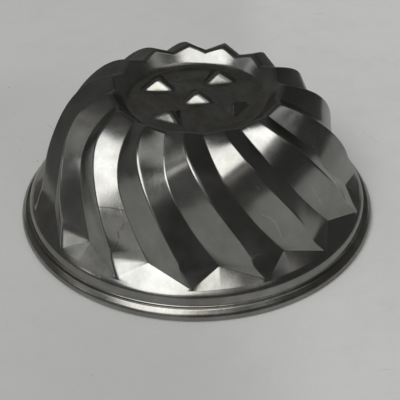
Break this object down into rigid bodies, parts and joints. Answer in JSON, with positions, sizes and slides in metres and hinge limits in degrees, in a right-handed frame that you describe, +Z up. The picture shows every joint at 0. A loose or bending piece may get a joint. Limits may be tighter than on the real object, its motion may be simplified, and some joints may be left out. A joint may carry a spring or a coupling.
{
  "type": "bundt pan",
  "caption": "Round cake pan with a swirled fluted wall, a sunken crown with five three-sided studs, a plain collar and a rim rolled over a wire",
  "frame": {"origin": "centre of the rim, on the plane that the rim rests on", "axes": "+Z points up through the crown of the pan as it lies rim down; X and Y lie in the rim plane; the studs and the flutes are turned so that +Y is away from the usual viewer"},
  "size_m": [0.22, 0.22, 0.084],
  "materials": {
    "sheet": "bright drawn tinplate with fine scratches and faint yellow-brown staining",
    "rim": "rolled tinplate edge, polished on its upper bevel and dull in the seam",
    "wire": "plain drawn steel wire"
  },
  "bodies": {
    "root": {"pan_shell": "sheet", "rim_curl": "rim", "rim_wire": "wire"}
  },
  "joints": []
}
